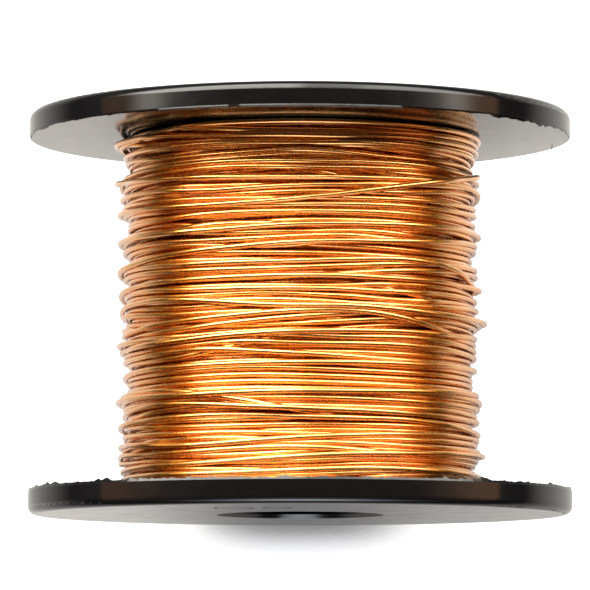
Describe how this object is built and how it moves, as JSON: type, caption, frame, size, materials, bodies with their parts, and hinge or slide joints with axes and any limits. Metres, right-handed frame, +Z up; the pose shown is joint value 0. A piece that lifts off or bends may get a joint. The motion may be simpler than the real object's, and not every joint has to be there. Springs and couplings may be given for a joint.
{
  "type": "wire spool",
  "caption": "Small flanged plastic spool wound full of enamelled copper wire, with a spindle bore right through and two wide flat flanges.",
  "frame": {"origin": "centre of the spindle bore, half-way between the flanges; the spool lies on its two rims 27 mm below it", "axes": "+Y along the spindle bore, from the near flange to the far flange; +Z up, square to the bore; +X across"},
  "size_m": [0.054, 0.04, 0.054],
  "materials": {
    "flange_plastic": "black moulded polystyrene, glossy with fine scuffs",
    "barrel_plastic": "black moulded plastic, satin",
    "enamelled_copper": "bright copper under a clear amber enamel"
  },
  "bodies": {
    "root": {"near_flange": "flange_plastic", "far_flange": "flange_plastic", "barrel": "barrel_plastic", "winding": "enamelled_copper", "wire_start_end": "enamelled_copper", "wire_finish_end": "enamelled_copper"}
  },
  "joints": []
}
